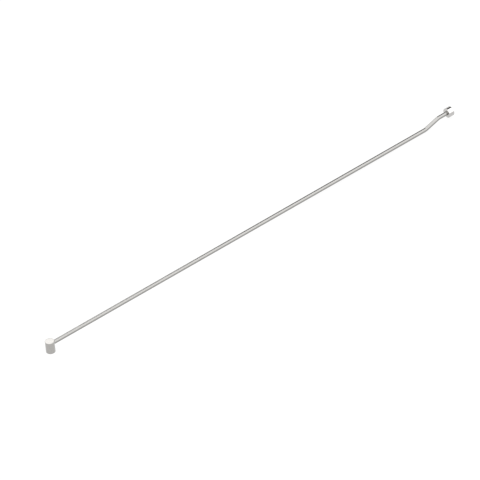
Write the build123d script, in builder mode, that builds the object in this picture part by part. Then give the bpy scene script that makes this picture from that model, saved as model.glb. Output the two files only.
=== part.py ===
from build123d import *

import os
from math import hypot

# A long-reach inoculating loop holder: a slender rod, cranked up a little near its front end, with
# a collet chuck at that end for the loop's wire and a short barrel across its back end.
#
# Millimetres. The origin is on the wire's axis, where the wire leaves the collet. +X runs out along
# the wire, away from the rod, and +Z is up. The holder is symmetric about the XZ plane.

# Rod
ROD_D = 2.5
STRAIGHT_LEN = 292.5  # from the barrel's axis to the first bend
CRANK_RUN = 10.75  # from the first bend to the second, along X
CRANK_RISE = 3.1  # how far the chuck's axis stands above the straight's
TIP_LEN = 6.5  # from the second bend to the nut's back face
BEND_R = 6.0
TIP_CHAMFER = 0.15
FLAT_DEPTH = 0.25  # flat under the rod, for the grub screw

# Chuck nut
NUT_D = 6.1
NUT_LEN = 3.7
NUT_CHAMFER = 0.25
MOUTH_D = 1.3
THREAD_ENGAGED = 2.0  # how far the rod reaches into the nut
THREAD_GAP = 0.05
SEAT_GAP = 0.05  # between the nut's taper and the collet's, square to both

# Collet
WIRE_BORE_D = 0.7
SHANK_D = 1.3
SHANK_LEN = 5.5
SHANK_GAP = 0.09
HEAD_D = 2.3
HEAD_RIM = 0.3
CONE_LEN = 1.1
NOSE_D = 1.2
SLOT_W = 0.2
SLOT_LEN = 5.0
BORE_SPARE = 0.5  # how much deeper the rod's bore is than the shank

# Barrel head
BARREL_D = 5.7
BARREL_H = 7.7
BARREL_CHAMFER = 0.2
ROD_HEIGHT = 5.2  # the rod's axis above the barrel's foot
ROD_PAST_AXIS = 1.2  # how far the rod's end lies beyond the barrel's axis
SOCKET_GAP = 0.01

# Grub screw
GRUB_D = 1.96
GRUB_GAP = 0.02
GRUB_LEN = 3.0
GRUB_CHAMFER = 0.2
HEX_WIDTH = 0.9
HEX_DEPTH = 1.0

# Places that follow from the sizes above
NUT_X = -(THREAD_ENGAGED + HEAD_RIM + CONE_LEN)
ROD_END_X = NUT_X + THREAD_ENGAGED
TIP_X = NUT_X - TIP_LEN
CRANK_X = TIP_X - CRANK_RUN
BARREL_X = CRANK_X - STRAIGHT_LEN
ROD_START_X = BARREL_X - ROD_PAST_AXIS
STRAIGHT_Z = -CRANK_RISE
FOOT_Z = STRAIGHT_Z - ROD_HEIGHT
FLAT_Z = STRAIGHT_Z - ROD_D / 2 + FLAT_DEPTH

os.makedirs("parts", exist_ok=True)


def save(piece: BuildPart, label: str):
    """Labels a finished piece and writes it as its own node."""
    piece.part.label = label
    export_step(piece.part, f"parts/{label}.step")


# Rod: one bent bar, bored for the collet's shank, with a flat that the grub screw bears on.
with BuildPart() as handle_rod:
    with BuildLine(Plane.XZ):
        FilletPolyline(
            (ROD_START_X, STRAIGHT_Z),
            (CRANK_X, STRAIGHT_Z),
            (TIP_X, 0),
            (ROD_END_X, 0),
            radius=BEND_R,
        )
    with BuildSketch(Plane.YZ.offset(ROD_START_X)):
        with Locations((0, STRAIGHT_Z)):
            Circle(ROD_D / 2)
    sweep()
    front_face = handle_rod.faces().sort_by(Axis.X)[-1]
    chamfer(front_face.edges(), TIP_CHAMFER)
    with BuildSketch(Plane.YZ.offset(ROD_END_X)):
        Circle(SHANK_D / 2 + SHANK_GAP)
    extrude(amount=-(SHANK_LEN + BORE_SPARE), mode=Mode.SUBTRACT)
    with BuildSketch(Plane.XY.offset(FLAT_Z)):
        with Locations((BARREL_X, 0)):
            Rectangle(2 * ROD_PAST_AXIS, ROD_D)
    extrude(amount=-FLAT_DEPTH, mode=Mode.SUBTRACT)
save(handle_rod, "handle_rod")

# Collet: a turned sleeve with a tapered head, sawn twice across so that four jaws grip the wire.
with BuildPart() as collet:
    with BuildSketch(Plane.XZ):
        with BuildLine():
            Polyline(
                (ROD_END_X - SHANK_LEN, WIRE_BORE_D / 2),
                (ROD_END_X - SHANK_LEN, SHANK_D / 2),
                (ROD_END_X, SHANK_D / 2),
                (ROD_END_X, HEAD_D / 2),
                (ROD_END_X + HEAD_RIM, HEAD_D / 2),
                (0, NOSE_D / 2),
                (0, WIRE_BORE_D / 2),
                close=True,
            )
        make_face()
    revolve(axis=Axis.X)
    with BuildSketch(Plane.YZ):
        with Locations(Rotation(0, 0, 45), Rotation(0, 0, 135)):
            Rectangle(2 * HEAD_D, SLOT_W)
    extrude(amount=-SLOT_LEN, mode=Mode.SUBTRACT)
save(collet, "collet")

# Chuck nut: its taper lies parallel to the collet's, and its mouth lets the wire out.
cone_slope = (HEAD_D - NOSE_D) / 2 / CONE_LEN
seat_rise = SEAT_GAP * hypot(1, cone_slope)
thread_r = ROD_D / 2 + THREAD_GAP


def seat_x(radius: float) -> float:
    """Where along X the nut's taper has this radius."""
    return (NOSE_D / 2 + seat_rise - radius) / cone_slope


with BuildPart() as chuck_nut:
    with BuildSketch(Plane.XZ):
        with BuildLine():
            Polyline(
                (NUT_X, thread_r),
                (NUT_X, NUT_D / 2),
                (NUT_X + NUT_LEN, NUT_D / 2),
                (NUT_X + NUT_LEN, MOUTH_D / 2),
                (seat_x(MOUTH_D / 2), MOUTH_D / 2),
                (seat_x(thread_r), thread_r),
                close=True,
            )
        make_face()
    revolve(axis=Axis.X)
    outer_rims = chuck_nut.edges().filter_by(GeomType.CIRCLE).group_by(SortBy.RADIUS)[-1]
    chamfer(outer_rims, NUT_CHAMFER)
save(chuck_nut, "chuck_nut")

# Barrel head: a blind socket across it takes the rod, and a hole up its foot takes the grub screw.
with BuildPart() as barrel_head:
    with BuildSketch(Plane.XY.offset(FOOT_Z)):
        with Locations((BARREL_X, 0)):
            Circle(BARREL_D / 2)
    extrude(amount=BARREL_H)
    chamfer(barrel_head.edges().filter_by(GeomType.CIRCLE), BARREL_CHAMFER)
    with BuildSketch(Plane.YZ.offset(ROD_START_X)):
        with Locations((0, STRAIGHT_Z)):
            Circle(ROD_D / 2 + SOCKET_GAP)
    extrude(amount=BARREL_D, mode=Mode.SUBTRACT)
    with BuildSketch(Plane.XY.offset(FOOT_Z)):
        with Locations((BARREL_X, 0)):
            Circle(GRUB_D / 2 + GRUB_GAP)
    extrude(amount=ROD_HEIGHT, mode=Mode.SUBTRACT)
    foot_circles = barrel_head.edges().filter_by(GeomType.CIRCLE).group_by(Axis.Z)[0]
    chamfer(foot_circles.sort_by(SortBy.RADIUS)[0], BARREL_CHAMFER)
save(barrel_head, "barrel_head")

# Grub screw: its flat point meets the flat under the rod, and its hex socket opens downwards.
with BuildPart() as grub_screw:
    with BuildSketch(Plane.XY.offset(FLAT_Z - GRUB_LEN)):
        with Locations((BARREL_X, 0)):
            Circle(GRUB_D / 2)
    extrude(amount=GRUB_LEN)
    chamfer(grub_screw.edges().filter_by(GeomType.CIRCLE), GRUB_CHAMFER)
    with BuildSketch(Plane.XY.offset(FLAT_Z - GRUB_LEN)):
        with Locations((BARREL_X, 0)):
            RegularPolygon(HEX_WIDTH / 2, 6, major_radius=False)
    extrude(amount=HEX_DEPTH, mode=Mode.SUBTRACT)
save(grub_screw, "grub_screw")
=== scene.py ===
import math

import bmesh
import bpy
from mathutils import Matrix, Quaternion, Vector


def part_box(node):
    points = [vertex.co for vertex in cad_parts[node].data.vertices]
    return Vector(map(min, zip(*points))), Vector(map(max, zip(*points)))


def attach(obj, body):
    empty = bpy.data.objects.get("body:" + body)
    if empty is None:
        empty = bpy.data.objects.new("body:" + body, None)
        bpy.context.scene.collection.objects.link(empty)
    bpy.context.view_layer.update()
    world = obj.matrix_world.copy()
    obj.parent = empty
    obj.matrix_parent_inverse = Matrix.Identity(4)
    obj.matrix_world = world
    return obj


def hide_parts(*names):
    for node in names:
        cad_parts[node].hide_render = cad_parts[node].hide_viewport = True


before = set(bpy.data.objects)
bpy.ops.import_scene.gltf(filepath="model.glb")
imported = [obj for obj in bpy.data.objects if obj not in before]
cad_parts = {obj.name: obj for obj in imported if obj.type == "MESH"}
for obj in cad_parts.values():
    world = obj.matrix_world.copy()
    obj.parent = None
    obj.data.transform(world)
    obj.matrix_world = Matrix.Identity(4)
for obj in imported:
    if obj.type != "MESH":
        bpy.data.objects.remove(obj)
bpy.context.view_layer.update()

# Sizes, in metres. Places come from the frame's boxes, further down.
MM = 0.001
ROD_R = 1.25 * MM
CRANK_RUN = 10.75 * MM
CRANK_RISE = 3.1 * MM
TIP_LEN = 6.5 * MM
BEND_R = 6.0 * MM
ROD_TIP_CHAMFER = 0.15 * MM
ROD_BORE_R = 0.74 * MM
ROD_BORE_DEPTH = 6.0 * MM
THREAD_PITCH = 0.45 * MM
THREAD_DEPTH = 0.22 * MM

NUT_BORE_R = 1.30 * MM
NUT_MOUTH_R = 0.65 * MM
COLLET_BORE_R = 0.35 * MM
COLLET_SHANK_R = 0.65 * MM
COLLET_NOSE_R = 0.60 * MM
COLLET_CONE_LEN = 1.1 * MM
COLLET_RIM = 0.3 * MM
SEAT_GAP = 0.05 * MM
SLOT_W = 0.2 * MM
SLOT_LEN = 5.0 * MM

SOCKET_R = 1.26 * MM
SCREW_HOLE_R = 1.0 * MM
HEX_WIDTH = 0.9 * MM
HEX_DEPTH = 1.0 * MM
EDGE_R = 0.2 * MM
FINE_EDGE_R = 0.06 * MM

ROUND_STEPS = 96  # points round a turned piece
ROD_STEPS = 64  # points round the rod
ARC_STEPS = 5  # in a rounded corner
BEND_STEPS = 16  # along each of the rod's bends
THREAD_STEPS = 12  # along one turn of the thread
LONGEST_EDGE = 0.5 * MM  # along a turned piece's profile, and along the rod's front
LONG_EDGE = 2 * MM  # along the rod's straight
HARD_ANGLE = math.radians(40)  # edges sharper than this stay sharp
ON_AXIS = 1e-9  # a smaller radius is a point on the axis

# View
AZIMUTH = math.radians(-36.5)
ELEVATION = math.radians(36.3)
ROLL = math.radians(-6.1)
CAMERA_DISTANCE = 6.0
SENSOR = 36.0
VIEW_WIDTH = 285.0 * MM
AIM_ALONG = 144.95 * MM  # from the barrel's axis, along the rod
AIM_BELOW = 2.22 * MM  # in the picture, square to the rod

# Places
barrel_low, barrel_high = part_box("barrel_head")
nut_low, nut_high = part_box("chuck_nut")
rod_low, rod_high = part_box("handle_rod")
collet_low, collet_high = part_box("collet")
screw_low, screw_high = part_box("grub_screw")

BARREL_X = (barrel_low.x + barrel_high.x) / 2
BARREL_R = (barrel_high.x - barrel_low.x) / 2
NUT_R = (nut_high.z - nut_low.z) / 2
COLLET_HEAD_R = (collet_high.z - collet_low.z) / 2
SCREW_R = (screw_high.x - screw_low.x) / 2
STRAIGHT_Z = -CRANK_RISE
TIP_X = nut_low.x - TIP_LEN
CRANK_X = TIP_X - CRANK_RUN
FLAT_Z = screw_high.z

X, Y, Z = Vector((1, 0, 0)), Vector((0, 1, 0)), Vector((0, 0, 1))


# Mesh tools

def skin(name, rings, loop=False):
    """One closed mesh over rings of points. A ring of one point closes an end."""
    made = bmesh.new()
    rows = [[made.verts.new(point) for point in ring] for ring in rings]
    pairs = list(zip(rows, rows[1:]))
    if loop:
        pairs.append((rows[-1], rows[0]))
    for near, far in pairs:
        count = max(len(near), len(far))
        for i in range(count):
            j = (i + 1) % count
            corners = (near[i % len(near)], near[j % len(near)], far[j % len(far)], far[i % len(far)])
            made.faces.new(list(dict.fromkeys(corners)))
    bmesh.ops.recalc_face_normals(made, faces=made.faces)
    mesh = bpy.data.meshes.new(name)
    made.to_mesh(mesh)
    made.free()
    piece = bpy.data.objects.new(name, mesh)
    bpy.context.scene.collection.objects.link(piece)
    return piece


def eased(corners):
    """A closed profile with its corners turned into arcs. Each corner is (along, radius, arc radius)."""
    profile = []
    for i, (along, radius, arc) in enumerate(corners):
        corner = Vector((along, radius))
        if arc == 0:
            profile.append(corner)
            continue
        before = (Vector(corners[i - 1][:2]) - corner).normalized()
        after = (Vector(corners[(i + 1) % len(corners)][:2]) - corner).normalized()
        half = before.angle(after) / 2
        reach = arc / math.tan(half)
        centre = corner + (before + after).normalized() * (arc / math.sin(half))
        start = corner + before * reach - centre
        end = corner + after * reach - centre
        sweep = math.pi - 2 * half
        for step in range(ARC_STEPS + 1):
            share = step / ARC_STEPS
            part = start * math.sin((1 - share) * sweep) + end * math.sin(share * sweep)
            profile.append(centre + part / math.sin(sweep))
    return profile


def divided(profile, loop):
    """The same profile with points added so that no edge is longer than LONGEST_EDGE."""
    ends = profile[1:] + (profile[:1] if loop else [])
    points = []
    for start, end in zip(profile, ends):
        count = max(1, math.ceil((end - start).length / LONGEST_EDGE))
        points += [start.lerp(end, i / count) for i in range(count)]
    return points if loop else points + profile[-1:]


def turned(name, profile, origin, axis, across, loop):
    """A piece turned on a lathe: the profile's first value runs along the axis, its second is the radius."""
    up = axis.cross(across)
    rings = []
    for along, radius in divided(profile, loop):
        centre = origin + axis * along
        if radius < ON_AXIS:
            rings.append([centre])
            continue
        angles = (2 * math.pi * i / ROUND_STEPS for i in range(ROUND_STEPS))
        rings.append([centre + radius * (math.cos(a) * across + math.sin(a) * up) for a in angles])
    return skin(name, rings, loop)


def prism(name, outline, depth):
    """A straight prism from a ring of points, pushed along a vector."""
    middle = sum(outline, Vector()) / len(outline)
    return skin(name, [[middle], outline, [point + depth for point in outline], [middle + depth]])


def cut(piece, cutter):
    """Takes the cutter's shape out of the piece, and removes the cutter."""
    modifier = piece.modifiers.new("cut", "BOOLEAN")
    modifier.operation = "DIFFERENCE"
    modifier.solver = "EXACT"
    modifier.object = cutter
    bpy.context.view_layer.update()
    evaluated = piece.evaluated_get(bpy.context.evaluated_depsgraph_get())
    result = bpy.data.meshes.new_from_object(evaluated)
    piece.modifiers.clear()
    piece.data = result
    bpy.data.objects.remove(cutter)


def finish_piece(piece, material, body, node):
    """Smooths a piece between its hard edges, and ties it to the frame."""
    for face in piece.data.polygons:
        face.use_smooth = True
    piece.data.set_sharp_from_angle(angle=HARD_ANGLE)
    piece.data.materials.clear()
    piece.data.materials.append(material)
    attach(piece, body)
    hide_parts(node)


# Material tools

MARKS_ALONG = 60  # noise cells in a metre along drawn marks
MARKS_ACROSS = 9000  # and across any tool marks
CLOUD_SCALE = 350.0
CLOUD_DARK, CLOUD_LIGHT = 0.93, 1.05  # what the clouding does to the colour
NOISE_LOW, NOISE_HIGH = 0.3, 0.7  # where most of the noise lies
GLOSS_LOW, GLOSS_HIGH = 0.75, 1.3  # what the tool marks do to the roughness


def add(tree, kind, inputs=None, **settings):
    """A node with its settings and inputs. An input that is a socket is linked, any other is a value."""
    made = tree.nodes.new(kind)
    for name, value in settings.items():
        setattr(made, name, value)
    for name, value in (inputs or {}).items():
        if isinstance(value, bpy.types.NodeSocket):
            tree.links.new(value, made.inputs[name])
        else:
            made.inputs[name].default_value = value
    return made


def worked(tree, operation, *inputs):
    """A vector sum on one or two vectors."""
    return add(tree, "ShaderNodeVectorMath", dict(enumerate(inputs)), operation=operation).outputs


def drawn_marks(tree):
    """Coordinates in which noise becomes fine scratches along X, as on drawn bar."""
    place = add(tree, "ShaderNodeTexCoord").outputs["Object"]
    return worked(tree, "MULTIPLY", place, (MARKS_ALONG, MARKS_ACROSS, MARKS_ACROSS))["Vector"]


def turned_marks(axis, origin):
    """Coordinates in which noise becomes fine rings round an axis, as a lathe leaves them."""
    def coordinates(tree):
        place = add(tree, "ShaderNodeTexCoord").outputs["Object"]
        local = worked(tree, "SUBTRACT", place, tuple(origin))["Vector"]
        along = worked(tree, "DOT_PRODUCT", local, tuple(axis))["Value"]
        across = tuple(1 - abs(share) for share in axis)
        radius = worked(tree, "LENGTH", worked(tree, "MULTIPLY", local, across)["Vector"])["Value"]
        rings = add(tree, "ShaderNodeCombineXYZ", {"X": along, "Y": radius}).outputs[0]
        return worked(tree, "MULTIPLY", rings, (MARKS_ACROSS, MARKS_ACROSS, 0))["Vector"]
    return coordinates


def mixed(tree, share, first, second, blend="MIX"):
    """The colour that lies a share of the way from the first to the second."""
    sockets = {0: share, 6: first, 7: second}
    return add(tree, "ShaderNodeMix", sockets, data_type="RGBA", blend_type=blend).outputs[2]


def along_x(tree, start, end, first, last):
    """A value that goes from the first to the last as X goes from the start to the end."""
    place = add(tree, "ShaderNodeTexCoord").outputs["Object"]
    x = add(tree, "ShaderNodeSeparateXYZ", {0: place}).outputs["X"]
    ends = {"Value": x, "From Min": start, "From Max": end, "To Min": first, "To Max": last}
    return add(tree, "ShaderNodeMapRange", ends).outputs[0]


def grey(value):
    return (value, value, value, 1)


def here(tree, setting):
    """What varies over the surface is given as a function of the tree, anything else as a value."""
    return setting(tree) if callable(setting) else setting


def metal(name, colour, roughness, marks, depth):
    """A worked metal: tool marks in its bump and gloss, and faint clouding in its colour."""
    material = bpy.data.materials.new(name)
    material.use_nodes = True
    tree = material.node_tree
    shader = tree.nodes["Principled BSDF"]
    shader.inputs["Metallic"].default_value = 1.0

    fine = add(tree, "ShaderNodeTexNoise", {"Vector": marks(tree), "Scale": 1.0, "Detail": 5.0}).outputs[0]
    place = add(tree, "ShaderNodeTexCoord").outputs["Object"]
    cloud = add(tree, "ShaderNodeTexNoise", {"Vector": place, "Scale": CLOUD_SCALE, "Detail": 3.0}).outputs[0]
    clouding = mixed(tree, cloud, grey(CLOUD_DARK), grey(CLOUD_LIGHT))
    shade = mixed(tree, 1.0, clouding, colour, "MULTIPLY")
    ends = {"From Min": NOISE_LOW, "From Max": NOISE_HIGH, "To Min": GLOSS_LOW, "To Max": GLOSS_HIGH}
    swing = add(tree, "ShaderNodeMapRange", {"Value": fine, **ends}).outputs[0]
    gloss = add(tree, "ShaderNodeMath", {0: swing, 1: here(tree, roughness)}, operation="MULTIPLY")
    bump = add(tree, "ShaderNodeBump", {"Height": fine, "Distance": depth})
    tree.links.new(shade, shader.inputs["Base Color"])
    tree.links.new(gloss.outputs[0], shader.inputs["Roughness"])
    tree.links.new(bump.outputs[0], shader.inputs["Normal"])
    return material


# Rod

def heading(angle):
    """The rod's direction where its centreline slopes up by this angle."""
    return Vector((math.cos(angle), 0, math.sin(angle)))


def above(angle):
    """Square to the rod there, in the XZ plane, on its upper side."""
    return Vector((-math.sin(angle), 0, math.cos(angle)))


def bend(corner, before, after):
    """Stations round a bend, as (point, slope). The corner is where its two straights would meet."""
    side = math.copysign(BEND_R, after - before)
    reach = BEND_R * math.tan(abs(after - before) / 2)
    centre = corner - reach * heading(before) + side * above(before)
    slopes = [before + (after - before) * i / BEND_STEPS for i in range(BEND_STEPS + 1)]
    return [(centre - side * above(slope), slope) for slope in slopes]


def straight(start, end, slope, longest):
    """Stations between two points, with neither end."""
    count = math.ceil((end - start).length / longest)
    return [(start.lerp(end, i / count), slope) for i in range(1, count)]


def rod_radius(x, angle):
    """The rod's radius, with a right-hand thread cut where the nut sits."""
    room = min(x - nut_low.x, rod_high.x - ROD_TIP_CHAMFER - x)
    fade = max(0.0, min(1.0, room / THREAD_PITCH))
    wave = 0.5 - 0.5 * math.cos(2 * math.pi * (x - nut_low.x) / THREAD_PITCH - angle)
    return ROD_R - THREAD_DEPTH * fade * wave


def rod_ring(point, slope):
    """The rod's skin at one station."""
    ring = []
    for i in range(ROD_STEPS):
        angle = 2 * math.pi * i / ROD_STEPS
        outward = math.cos(angle) * Y + math.sin(angle) * above(slope)
        ring.append(point + rod_radius(point.x, angle) * outward)
    return ring


def plain_ring(x, radius):
    """A circle round the chuck's axis, with the rod's number of points."""
    angles = (2 * math.pi * i / ROD_STEPS for i in range(ROD_STEPS))
    return [Vector((x, radius * math.cos(angle), radius * math.sin(angle))) for angle in angles]


def make_rod():
    """The bent bar: bored and threaded in front, with a flat underneath at the back."""
    rise = math.atan2(CRANK_RISE, CRANK_RUN)
    back = Vector((rod_low.x, 0, STRAIGHT_Z))
    first = bend(Vector((CRANK_X, 0, STRAIGHT_Z)), 0.0, rise)
    second = bend(Vector((TIP_X, 0, 0)), rise, 0.0)
    thread = Vector((nut_low.x, 0, 0))
    tip = Vector((rod_high.x - ROD_TIP_CHAMFER, 0, 0))
    stations = [(back, 0.0)] + straight(back, first[0][0], 0.0, LONG_EDGE) + first
    stations += straight(first[-1][0], second[0][0], rise, LONGEST_EDGE) + second
    stations += straight(second[-1][0], thread, 0.0, LONGEST_EDGE) + [(thread, 0.0)]
    stations += straight(thread, tip, 0.0, THREAD_PITCH / THREAD_STEPS) + [(tip, 0.0)]

    rings = [[back]] + [rod_ring(point, slope) for point, slope in stations]
    rings.append(plain_ring(rod_high.x, ROD_R - ROD_TIP_CHAMFER))
    rings.append(plain_ring(rod_high.x, ROD_BORE_R))
    rings.append(plain_ring(rod_high.x - ROD_BORE_DEPTH, ROD_BORE_R))
    rings.append([Vector((rod_high.x - ROD_BORE_DEPTH, 0, 0))])
    rod = skin("rod", rings)

    flat_front = 2 * BARREL_X - rod_low.x
    corners = ((rod_low.x - ROD_R, -2 * ROD_R), (flat_front, -2 * ROD_R), (flat_front, 2 * ROD_R),
               (rod_low.x - ROD_R, 2 * ROD_R))
    cut(rod, prism("cutter", [Vector((x, y, FLAT_Z)) for x, y in corners], -2 * ROD_R * Z))
    return rod


# Turned pieces

def seat_x(radius):
    """Where along X the nut's taper has this radius: it lies parallel to the collet's."""
    slope = (COLLET_HEAD_R - COLLET_NOSE_R) / COLLET_CONE_LEN
    return (COLLET_NOSE_R + SEAT_GAP * math.hypot(1, slope) - radius) / slope


def make_nut():
    """The chuck nut: a plain polished collar, bored behind and tapered to a mouth in front."""
    length = nut_high.x - nut_low.x
    profile = eased((
        (0, NUT_BORE_R, FINE_EDGE_R),
        (0, NUT_R, EDGE_R),
        (length, NUT_R, EDGE_R),
        (length, NUT_MOUTH_R, FINE_EDGE_R),
        (seat_x(NUT_MOUTH_R) - nut_low.x, NUT_MOUTH_R, 0),
        (seat_x(NUT_BORE_R) - nut_low.x, NUT_BORE_R, 0),
    ))
    return turned("nut", profile, nut_low.x * X, X, Y, loop=True)


def make_collet():
    """The collet: a tapered head on a thin shank, sawn twice across into four jaws."""
    length = collet_high.x - collet_low.x
    head = length - COLLET_CONE_LEN - COLLET_RIM
    profile = eased((
        (0, COLLET_BORE_R, 0),
        (0, COLLET_SHANK_R, FINE_EDGE_R),
        (head, COLLET_SHANK_R, 0),
        (head, COLLET_HEAD_R, FINE_EDGE_R),
        (head + COLLET_RIM, COLLET_HEAD_R, 0),
        (length, COLLET_NOSE_R, FINE_EDGE_R),
        (length, COLLET_BORE_R, FINE_EDGE_R),
    ))
    collet = turned("jaws", profile, collet_low.x * X, X, Y, loop=True)
    for angle in (math.radians(45), math.radians(135)):
        wide = 2 * COLLET_HEAD_R * Vector((0, math.cos(angle), math.sin(angle)))
        thin = SLOT_W / 2 * Vector((0, -math.sin(angle), math.cos(angle)))
        front = (collet_high.x + MM) * X
        outline = [front + wide + thin, front - wide + thin, front - wide - thin, front + wide - thin]
        cut(collet, prism("cutter", outline, -(SLOT_LEN + MM) * X))
    return collet


def make_barrel():
    """The barrel head: soft polished rims, a screw hole up its foot, and a blind socket for the rod."""
    height = barrel_high.z - barrel_low.z
    depth = STRAIGHT_Z - barrel_low.z
    profile = eased((
        (depth, 0, 0),
        (depth, SCREW_HOLE_R, 0),
        (EDGE_R, SCREW_HOLE_R, 0),
        (0, SCREW_HOLE_R + EDGE_R, 0),
        (0, BARREL_R, EDGE_R),
        (height, BARREL_R, EDGE_R),
        (height, 0, 0),
    ))
    barrel = turned("barrel", profile, Vector((BARREL_X, 0, barrel_low.z)), Z, X, loop=False)
    reach = 2 * BARREL_R
    socket = [Vector(p) for p in ((0, 0), (0, SOCKET_R), (reach, SOCKET_R), (reach, 0))]
    cut(barrel, turned("cutter", socket, Vector((rod_low.x, 0, STRAIGHT_Z)), X, Y, loop=False))
    return barrel


def make_screw():
    """The grub screw, seen only from underneath, in its hole."""
    length = screw_high.z - screw_low.z
    corners = ((0, 0), (0, SCREW_R - EDGE_R), (EDGE_R, SCREW_R), (length - EDGE_R, SCREW_R),
               (length, SCREW_R - EDGE_R), (length, 0))
    base = Vector((BARREL_X, 0, screw_low.z))
    screw = turned("screw", [Vector(p) for p in corners], base, Z, X, loop=False)
    reach = HEX_WIDTH / 2 / math.cos(math.radians(30))
    angles = (math.radians(60 * i) for i in range(6))
    outline = [base - MM * Z + reach * (math.cos(a) * X + math.sin(a) * Y) for a in angles]
    cut(screw, prism("cutter", outline, (HEX_DEPTH + MM) * Z))
    return screw


# Finishes
BARREL_END_ROUGHNESS = 0.26
CHUCK_END_ROUGHNESS = 0.08
POLISHED_DEPTH = 0.4e-6  # of the tool marks
TURNED_DEPTH = 0.6e-6
PLAIN_DEPTH = 0.8e-6


def rod_roughness(tree):
    """The rod is a little smoother towards the chuck."""
    return along_x(tree, BARREL_X, nut_low.x, BARREL_END_ROUGHNESS, CHUCK_END_ROUGHNESS)


round_chuck = turned_marks(X, Vector())
round_barrel = turned_marks(Z, BARREL_X * X)
drawn_steel = metal("drawn_steel", (0.30, 0.295, 0.285, 1), rod_roughness, drawn_marks, POLISHED_DEPTH)
chuck_steel = metal("chuck_steel", (0.52, 0.51, 0.50, 1), 0.09, round_chuck, POLISHED_DEPTH)
barrel_steel = metal("barrel_steel", (0.42, 0.41, 0.395, 1), 0.14, round_barrel, POLISHED_DEPTH)
brass = metal("brass", (0.72, 0.53, 0.26, 1), 0.25, round_chuck, TURNED_DEPTH)
screw_steel = metal("screw_steel", (0.32, 0.32, 0.33, 1), 0.3, round_barrel, PLAIN_DEPTH)

finish_piece(make_rod(), drawn_steel, "holder", "handle_rod")
finish_piece(make_barrel(), barrel_steel, "holder", "barrel_head")
finish_piece(make_screw(), screw_steel, "holder", "grub_screw")
finish_piece(make_collet(), brass, "collet", "collet")
finish_piece(make_nut(), chuck_steel, "nut", "chuck_nut")


# Studio
FLOOR_HALF = 15.0
FLOOR_GLOW = 0.90
FLOOR_SHADE = 0.08
CARD_LEFT = 0.12
CARD_RIGHT = 1.4
CARD_BACK = 0.42
CARD_LOW = 0.30
CARD_HIGH = 1.5
CARD_GLOW = 0.05
SKY_STRENGTH = 2.4
# Brightness against height, from -1 straight down, over 0 at the horizon, to 1 straight up.
SKY_IN_FRONT = ((-1.0, 0.45), (-0.02, 0.45), (0.04, 0.55), (0.15, 0.95), (1.0, 0.95))
SKY_BEHIND = ((-1.0, 0.45), (-0.02, 0.40), (0.48, 0.40), (0.56, 0.95), (1.0, 0.95))
AWAY = (0.6, 0.8, 0.0)  # the way the camera looks, level
BEHIND_FROM = 0.0  # where the sky behind fades in, as shares of that direction
BEHIND_TO = 0.3


def panel(name, corners, shade, glow=0.0):
    """A flat, dead matt panel of the studio, which may also glow."""
    material = bpy.data.materials.new(name)
    material.use_nodes = True
    shader = material.node_tree.nodes["Principled BSDF"]
    shader.inputs["Base Color"].default_value = grey(shade)
    shader.inputs["Roughness"].default_value = 1.0
    shader.inputs["Specular IOR Level"].default_value = 0.0
    shader.inputs["Emission Color"].default_value = grey(1.0)
    shader.inputs["Emission Strength"].default_value = glow
    mesh = bpy.data.meshes.new(name)
    mesh.from_pydata(corners, [], [(0, 1, 2, 3)])
    mesh.materials.append(material)
    made = bpy.data.objects.new(name, mesh)
    bpy.context.scene.collection.objects.link(made)
    return made


def make_floor():
    """A pale bench top. It meets the barrel's front rim and the underside of the first bend."""
    rim = Vector((BARREL_X + BARREL_R - EDGE_R, 0, barrel_low.z))
    elbow = Vector((CRANK_X, 0, STRAIGHT_Z - ROD_R))
    slope = (elbow.z - rim.z) / (elbow.x - rim.x)
    spots = [(FLOOR_HALF * i, FLOOR_HALF * j) for i, j in ((-1, -1), (1, -1), (1, 1), (-1, 1))]
    corners = [(x, y, rim.z + slope * (x - rim.x)) for x, y in spots]
    panel("floor", corners, FLOOR_SHADE, FLOOR_GLOW)


def make_card():
    """A dark card behind on the right, seen only as the dark line along the top of the rod and nut."""
    spots = (
        (CARD_LEFT, CARD_LOW),
        (CARD_RIGHT, CARD_LOW),
        (CARD_RIGHT, CARD_HIGH),
        (CARD_LEFT, CARD_HIGH),
    )
    card = panel("card", [(x, CARD_BACK, z) for x, z in spots], 0.0, CARD_GLOW)
    card.visible_camera = False
    card.visible_diffuse = False
    card.visible_shadow = False


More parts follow.
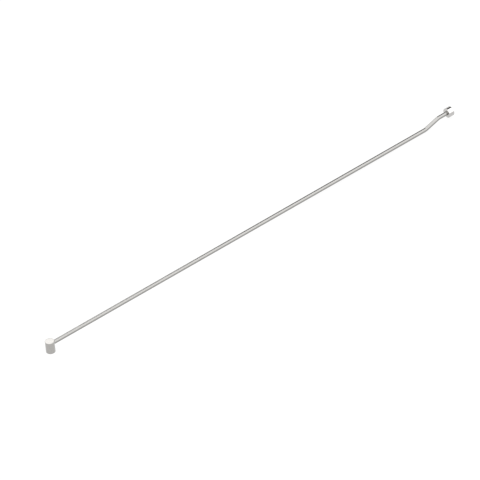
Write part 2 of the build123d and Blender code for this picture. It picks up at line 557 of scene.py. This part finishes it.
def sky_at(tree, height, levels):
    """The sky's brightness at a height, from pairs of height and brightness."""
    share = add(tree, "ShaderNodeMapRange", {"Value": height, "From Min": -1.0, "From Max": 1.0}).outputs[0]
    ramp = add(tree, "ShaderNodeValToRGB", {0: share})
    stops = ramp.color_ramp.elements
    for level, value in levels[1:-1]:
        stops.new((level + 1) / 2)
    for stop, (level, value) in zip(stops, levels):
        stop.color = grey(value)
    return ramp.outputs[0]


def make_sky():
    """Soft light from above and all round, with a dark band low down behind."""
    world = bpy.data.worlds.new("studio")
    world.use_nodes = True
    bpy.context.scene.world = world
    tree = world.node_tree
    direction = add(tree, "ShaderNodeTexCoord").outputs["Generated"]
    height = add(tree, "ShaderNodeSeparateXYZ", {0: direction}).outputs["Z"]
    away = worked(tree, "DOT_PRODUCT", direction, AWAY)["Value"]
    behind = add(
        tree,
        "ShaderNodeMapRange",
        {"Value": away, "From Min": BEHIND_FROM, "From Max": BEHIND_TO},
        interpolation_type="SMOOTHSTEP",
    ).outputs[0]
    light = mixed(tree, behind, sky_at(tree, height, SKY_IN_FRONT), sky_at(tree, height, SKY_BEHIND))
    background = tree.nodes["Background"]
    background.inputs["Strength"].default_value = SKY_STRENGTH
    tree.links.new(light, background.inputs["Color"])


def make_camera():
    """A very long lens, so that the view is nearly parallel."""
    back = Vector((
        math.sin(AZIMUTH) * math.cos(ELEVATION),
        -math.cos(AZIMUTH) * math.cos(ELEVATION),
        math.sin(ELEVATION),
    ))
    rod_in_view = (X - X.dot(back) * back).normalized()
    aim = Vector((BARREL_X + AIM_ALONG, 0, STRAIGHT_Z)) + AIM_BELOW * rod_in_view.cross(back)
    data = bpy.data.cameras.new("camera")
    data.sensor_width = SENSOR
    data.lens = SENSOR * CAMERA_DISTANCE / VIEW_WIDTH
    data.clip_end = 10 * CAMERA_DISTANCE
    camera = bpy.data.objects.new("camera", data)
    camera.rotation_mode = "QUATERNION"
    camera.location = aim + CAMERA_DISTANCE * back
    camera.rotation_quaternion = (-back).to_track_quat("-Z", "Y") @ Quaternion((0, 0, 1), ROLL)
    bpy.context.scene.collection.objects.link(camera)
    bpy.context.scene.camera = camera


make_floor()
make_card()
make_sky()
make_camera()
bpy.context.scene.view_settings.view_transform = "Standard"
